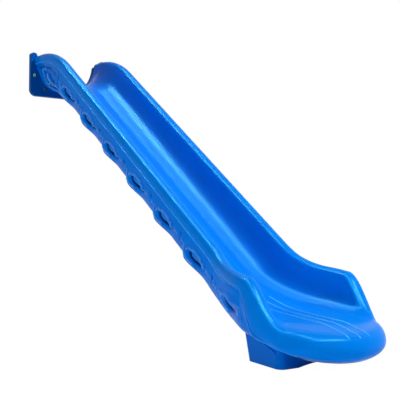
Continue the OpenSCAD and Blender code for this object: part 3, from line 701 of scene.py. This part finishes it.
# A darker copy of the slide's blue, painted shade for the foot's place under the lip.
foot_shaded_blue = moulded("foot_shaded_blue", (0.0, 0.155, 0.66), (0.0, 0.17, 0.72), 0.22)
finish_in(foot_shaded_blue, "exit_foot")
foot_front = front_u - FOOT_BACK
foot_taper = (FOOT_FRONT_W - FOOT_REAR_W) / 2 / FOOT_LEN
rim_plan = [(FOOT_REAR_W / 2 - foot_taper * (FOOT_LEAN - d), foot_front - FOOT_LEN - FOOT_LEAN + d)
            for d in spread((0, FOOT_FLANK, 12))]
rim_plan += [(FOOT_FRONT_W / 2 - FOOT_R + FOOT_R * cos(t), foot_front - FOOT_R + FOOT_R * sin(t))
             for t in spread((0, pi / 2, 8))]
rim_plan += [(0.0, foot_front)]


def rim_point(spot, v):
    """A point of the rim at a spot of the foot's plan, v up from below the underside."""
    x, u = spot
    return (max(0.0, x - 0.5) * MM, -(FLANGE_T + u - 0.5) * MM,
            (under_z(u) - RIM_DOWN + RIM_H * v + DECK_Z) * MM)


foot_rim = sheet_mesh("foot_rim", rim_plan, spread((0, 1, 6)), rim_point)
face_outwards(foot_rim, (-2, -2.4, -1.5))
solid_wall(foot_rim, 0.006)
foot_rim.data.materials.append(foot_shaded_blue)
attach(foot_rim, "root")

# The vent plug is a grey push-in cap in the underside, over the hole that the moulding breathes by.
plug_grey = moulded("plug_grey", (0.2, 0.2, 0.21), (0.26, 0.26, 0.27), 0.4)
finish_in(plug_grey, "vent_plug")

# The slide stands on a plain pale floor under a white sky. Both show white to the camera and in
# the gloss, and light the slide softly, and the floor keeps the slide's shadow.
floor_bm = bmesh.new()
bmesh.ops.create_grid(floor_bm, x_segments=1, y_segments=1, size=40)
bmesh.ops.translate(floor_bm, verts=floor_bm.verts, vec=(0, 0, cad_box[0][2]))
floor = piece_from(floor_bm, "floor")


def seen_share(nodes, links):
    """One for what the camera sees, also in gloss or through clear things, and zero for light."""
    path = nodes.new("ShaderNodeLightPath")
    share = path.outputs["Is Camera Ray"]
    for ray in ("Is Glossy Ray", "Is Transmission Ray"):
        either = nodes.new("ShaderNodeMath")
        either.operation = "MAXIMUM"
        links.new(share, either.inputs[0])
        links.new(path.outputs[ray], either.inputs[1])
        share = either.outputs[0]
    return share


white = bpy.data.materials.new("white_floor")
white.use_nodes = True
nodes, links = white.node_tree.nodes, white.node_tree.links
nodes["Principled BSDF"].inputs["Base Color"].default_value = (0.55, 0.55, 0.55, 1)
nodes["Principled BSDF"].inputs["Roughness"].default_value = 0.9
glow = nodes.new("ShaderNodeEmission")
glow.inputs["Strength"].default_value = 1.06
part = nodes.new("ShaderNodeMath")
part.operation = "MULTIPLY"
part.inputs[1].default_value = 0.93
links.new(seen_share(nodes, links), part.inputs[0])
blend = nodes.new("ShaderNodeMixShader")
links.new(part.outputs[0], blend.inputs["Fac"])
links.new(nodes["Principled BSDF"].outputs["BSDF"], blend.inputs[1])
links.new(glow.outputs["Emission"], blend.inputs[2])
links.new(blend.outputs["Shader"], nodes["Material Output"].inputs["Surface"])
floor.data.materials.append(white)

world = bpy.data.worlds.new("studio")
bpy.context.scene.world = world
world.use_nodes = True
nodes, links = world.node_tree.nodes, world.node_tree.links
soft = nodes["Background"]
soft.inputs["Color"].default_value = (1, 1, 1, 1)
soft.inputs["Strength"].default_value = 0.14
bright = nodes.new("ShaderNodeBackground")
bright.inputs["Color"].default_value = (1, 1, 1, 1)
bright.inputs["Strength"].default_value = 1.0
blend = nodes.new("ShaderNodeMixShader")
links.new(seen_share(nodes, links), blend.inputs["Fac"])
links.new(soft.outputs["Background"], blend.inputs[1])
links.new(bright.outputs["Background"], blend.inputs[2])
links.new(blend.outputs["Shader"], nodes["World Output"].inputs["Surface"])


# Four soft lamps light the plastic, and four show only in its gloss, as the pale streaks along the
# rails, the walls' rounding and the lip.
def lamp(name, spot, target, size, power):
    """A soft box of a size in metres, at a spot and turned to its target."""
    data = bpy.data.lights.new(name, "AREA")
    data.shape = "RECTANGLE"
    data.size, data.size_y = size
    data.energy = power
    obj = bpy.data.objects.new(name, data)
    bpy.context.scene.collection.objects.link(obj)
    obj.location = spot
    obj.rotation_euler = (Vector(target) - Vector(spot)).to_track_quat("-Z", "Y").to_euler()
    return obj


middle, lip = (0.0, -1.6, -0.8), (-0.3, -2.5, -1.3)
for light in (("key", (2.1, -4.0, 2.8), middle, (0.9, 0.9), 220),
              ("top", (-1.3, -0.8, 3.0), middle, (1.0, 2.6), 13),
              ("left", (-4.4, -1.6, -0.3), (-0.3, -1.3, -0.7), (2.0, 1.0), 55),
              ("front", (-0.3, -5.8, 0.0), lip, (1.4, 1.2), 25)):
    lamp(*light).visible_glossy = False
for shine in (("glint", (0.8, -4.95, 2.25), lip, (3.1, 0.45), 1300),
              ("crest", (-0.7, -4.2, 2.4), (-0.7, -4.0, -0.5), (0.6, 2.6), 1000),
              ("ceiling", (-0.75, -0.8, 2.4), (-0.75, -0.05, -0.5), (2.0, 3.6), 820),
              ("streak", (-1.3, -0.65, 2.35), (-1.3, 0.1, -0.5), (0.55, 3.4), 800)):
    shining = lamp(*shine)
    shining.visible_diffuse = False
    shining.data.color = (0.25, 0.85, 1.0)

# The camera stands where the photograph was taken from: low, in front of the exit, to its left.
camera_data = bpy.data.cameras.new("camera")
camera_data.lens = 70.6
camera_data.sensor_width = 36
camera_data.clip_end = 200
camera = bpy.data.objects.new("camera", camera_data)
bpy.context.scene.collection.objects.link(camera)
camera.location = (-2.502, -4.951, -0.900)
camera.rotation_euler = (radians(90 + 1.557), radians(-0.206), radians(-36.49))
bpy.context.scene.camera = camera
bpy.context.scene.view_settings.view_transform = "Standard"
